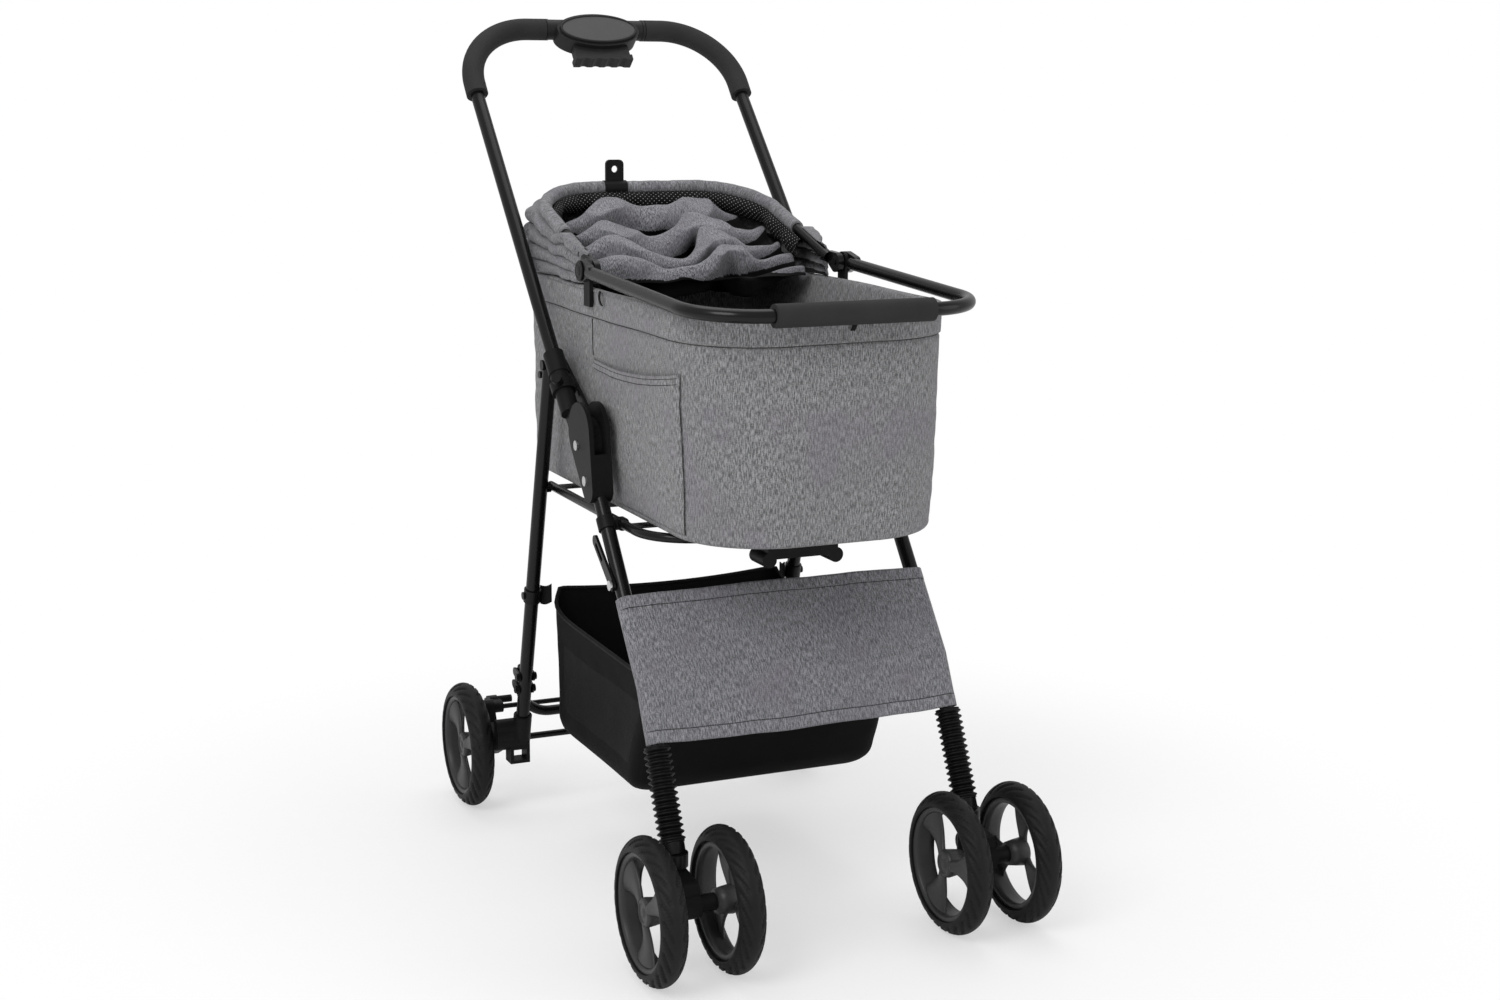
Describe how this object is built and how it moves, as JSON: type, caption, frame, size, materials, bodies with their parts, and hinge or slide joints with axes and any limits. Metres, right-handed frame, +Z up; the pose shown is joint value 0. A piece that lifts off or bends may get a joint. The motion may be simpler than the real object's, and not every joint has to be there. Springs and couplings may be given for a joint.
{
  "type": "pet stroller",
  "caption": "Folding pet stroller: tubular frame with a folding handle, padded open cabin, canopy hoop, bumper bar, storage basket, sprung twin casters and braked rear wheels.",
  "frame": {"origin": "on the ground in the middle plane, between the casters and the rear wheels, at the mount named ground", "axes": "+Z up, +Y towards the rear where the handle is, -Y the front with the casters, +X to the pusher's left"},
  "size_m": [0.461, 0.8031, 0.9499],
  "materials": {
    "black_paint": "semi-gloss black powder coat",
    "black_plastic": "satin moulded plastic",
    "foam_grip": "smooth closed-cell foam",
    "bellows_rubber": "matt ribbed rubber",
    "grey_fabric": "heather grey woven polyester, padded",
    "black_fabric": "black nylon and mesh",
    "steel": "bright steel",
    "wheel_plastic": "dark grey moulded wheel",
    "tyre": "solid tyre with a cut tread"
  },
  "bodies": {
    "frame": {"front_leg_left": "black_paint", "front_leg_right": "black_paint", "latch_shell_left": "black_plastic", "latch_shell_right": "black_plastic", "rear_pivot_plates": "black_paint", "frame_rivets": "steel", "seat_rail": "black_paint", "rail_brackets": "black_plastic", "front_cross_tube": "black_paint", "front_panel": "grey_fabric", "storage_basket": "black_fabric", "cabin_shell": "grey_fabric", "cabin_board": "black_fabric", "cabin_cushion": "black_fabric", "cabin_knuckles": "black_plastic", "bellows_left": "bellows_rubber", "bellows_right": "bellows_rubber", "spring_left": "steel", "spring_right": "steel"},
    "handle": {"handle_tube": "black_paint", "handle_arm_left": "black_plastic", "handle_arm_right": "black_plastic", "grip_left": "foam_grip", "grip_right": "foam_grip", "hub_housing": "black_plastic", "hub_cover": "black_plastic"},
    "trigger": {"squeeze_trigger": "black_plastic"},
    "slider_left": {"latch_slider_left": "black_plastic"},
    "slider_right": {"latch_slider_right": "black_plastic"},
    "rear_frame": {"rear_leg_left": "black_paint", "rear_leg_right": "black_paint", "rear_cross_tube": "black_paint", "rear_fittings": "black_paint", "rear_axle": "black_paint", "wheel_housing_left": "black_plastic", "wheel_housing_right": "black_plastic"},
    "brake": {"brake_rod": "black_paint", "brake_pedals": "black_plastic"},
    "rear_wheel_left": {"rear_rim_left": "wheel_plastic", "rear_tyre_left": "tyre"},
    "rear_wheel_right": {"rear_rim_right": "wheel_plastic", "rear_tyre_right": "tyre"},
    "strut_left": {"strut_left": "black_paint"},
    "strut_right": {"strut_right": "black_paint"},
    "caster_left": {"caster_yoke_left": "black_plastic"},
    "caster_right": {"caster_yoke_right": "black_plastic"},
    "front_wheel_left_outer": {"front_rim_left_outer": "wheel_plastic", "front_tyre_left_outer": "tyre"},
    "front_wheel_left_inner": {"front_rim_left_inner": "wheel_plastic", "front_tyre_left_inner": "tyre"},
    "front_wheel_right_inner": {"front_rim_right_inner": "wheel_plastic", "front_tyre_right_inner": "tyre"},
    "front_wheel_right_outer": {"front_rim_right_outer": "wheel_plastic", "front_tyre_right_outer": "tyre"},
    "hook": {"fold_hook": "black_paint"},
    "bumper": {"bumper_bar": "black_paint", "bumper_sleeve": "foam_grip"},
    "canopy": {"canopy_hoop": "black_paint", "canopy_fabric": "grey_fabric", "hanging_tab": "black_plastic"}
  },
  "joints": [
    {"name": "handle_fold", "type": "hinge", "parent": "frame", "child": "handle", "pos_m": [0, -0.028, 0.491], "axis": [1, 0, 0], "range_deg": [0, 128]},
    {"name": "trigger_squeeze", "type": "slide", "parent": "handle", "child": "trigger", "axis": [0, 0.6428, 0.766], "range_m": [0, 0.008], "stiffness_N_per_m": 400, "springref_m": -0.004},
    {"name": "slider_left_lift", "type": "slide", "parent": "handle", "child": "slider_left", "axis": [0, 0.6909, 0.723], "range_m": [0, 0.01]},
    {"name": "slider_right_lift", "type": "slide", "parent": "handle", "child": "slider_right", "axis": [0, 0.6909, 0.723], "range_m": [0, 0.01]},
    {"name": "rear_fold", "type": "hinge", "parent": "frame", "child": "rear_frame", "pos_m": [0, 0.09, 0.562], "axis": [-1, 0, 0], "range_deg": [0, 30.72], "deforming": ["storage_basket"]},
    {"name": "brake_press", "type": "hinge", "parent": "rear_frame", "child": "brake", "pos_m": [0, 0.286, 0.113], "axis": [-1, 0, 0], "range_deg": [0, 25]},
    {"name": "rear_wheel_left_spin", "type": "hinge", "parent": "rear_frame", "child": "rear_wheel_left", "pos_m": [-0.217, 0.272, 0.075], "axis": [1, 0, 0], "continuous": true},
    {"name": "rear_wheel_right_spin", "type": "hinge", "parent": "rear_frame", "child": "rear_wheel_right", "pos_m": [0.217, 0.272, 0.075], "axis": [1, 0, 0], "continuous": true},
    {"name": "strut_left_travel", "type": "slide", "parent": "frame", "child": "strut_left", "axis": [0, 0.4352, 0.9003], "range_m": [0, 0.012], "stiffness_N_per_m": 3000, "springref_m": -0.015, "deforming": ["bellows_left", "spring_left"]},
    {"name": "caster_left_swivel", "type": "hinge", "parent": "strut_left", "child": "caster_left", "pos_m": [-0.168, -0.276, 0.104], "axis": [0, 0, 1], "continuous": true},
    {"name": "front_wheel_left_outer_spin", "type": "hinge", "parent": "caster_left", "child": "front_wheel_left_outer", "pos_m": [-0.209, -0.312, 0.075], "axis": [1, 0, 0], "continuous": true},
    {"name": "front_wheel_left_inner_spin", "type": "hinge", "parent": "caster_left", "child": "front_wheel_left_inner", "pos_m": [-0.127, -0.312, 0.075], "axis": [1, 0, 0], "continuous": true},
    {"name": "strut_right_travel", "type": "slide", "parent": "frame", "child": "strut_right", "axis": [0, 0.4352, 0.9003], "range_m": [0, 0.012], "stiffness_N_per_m": 3000, "springref_m": -0.015, "deforming": ["bellows_right", "spring_right"]},
    {"name": "caster_right_swivel", "type": "hinge", "parent": "strut_right", "child": "caster_right", "pos_m": [0.168, -0.276, 0.104], "axis": [0, 0, 1], "continuous": true},
    {"name": "front_wheel_right_outer_spin", "type": "hinge", "parent": "caster_right", "child": "front_wheel_right_outer", "pos_m": [0.209, -0.312, 0.075], "axis": [1, 0, 0], "continuous": true},
    {"name": "front_wheel_right_inner_spin", "type": "hinge", "parent": "caster_right", "child": "front_wheel_right_inner", "pos_m": [0.127, -0.312, 0.075], "axis": [1, 0, 0], "continuous": true},
    {"name": "hook_swing", "type": "hinge", "parent": "frame", "child": "hook", "pos_m": [-0.178, -0.12852, 0.36], "axis": [1, 0, 0], "range_deg": [-60, 5]},
    {"name": "bumper_lift", "type": "hinge", "parent": "frame", "child": "bumper", "pos_m": [0, 0.008, 0.673], "axis": [-1, 0, 0], "range_deg": [0, 60]},
    {"name": "canopy_raise", "type": "hinge", "parent": "frame", "child": "canopy", "pos_m": [0, 0.008, 0.673], "axis": [1, 0, 0], "range_deg": [0, 140], "deforming": ["canopy_fabric"]}
  ],
  "couplings": [
    {"joint": "rear_fold", "follows": "handle_fold", "ratio": 0.24},
    {"joint": "slider_left_lift", "follows": "trigger_squeeze", "ratio": 1.25},
    {"joint": "slider_right_lift", "follows": "trigger_squeeze", "ratio": 1.25}
  ]
}
